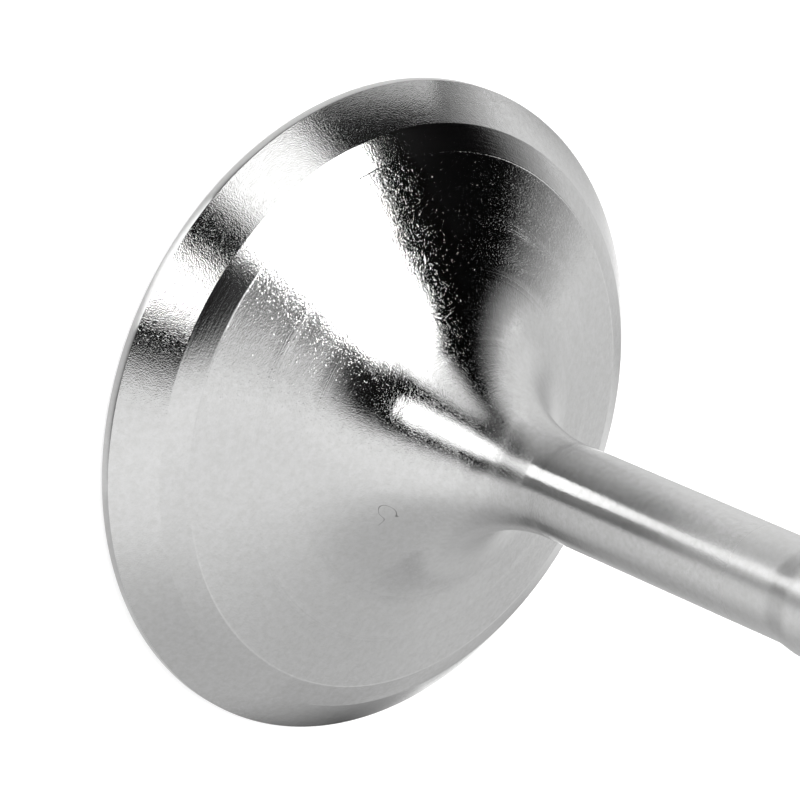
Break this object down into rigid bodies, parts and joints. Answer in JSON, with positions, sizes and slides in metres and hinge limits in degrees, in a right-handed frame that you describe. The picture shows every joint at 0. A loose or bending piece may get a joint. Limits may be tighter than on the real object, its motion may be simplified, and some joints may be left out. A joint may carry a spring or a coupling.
{
  "type": "engine valve",
  "caption": "Poppet valve with a broad tulip head, bevelled seat face, slim undercut stem and a keeper groove near the tip.",
  "frame": {"origin": "centre of the flat combustion face, the underside that the valve stands on", "axes": "+Z along the stem's axis, from the head to the tip; the valve is round, so X and Y are free"},
  "size_m": [0.035, 0.035, 0.109],
  "materials": {
    "valve_steel": "turned and lightly polished stainless steel, with fine concentric tool lines"
  },
  "bodies": {
    "root": {"valve": "valve_steel"}
  },
  "joints": []
}
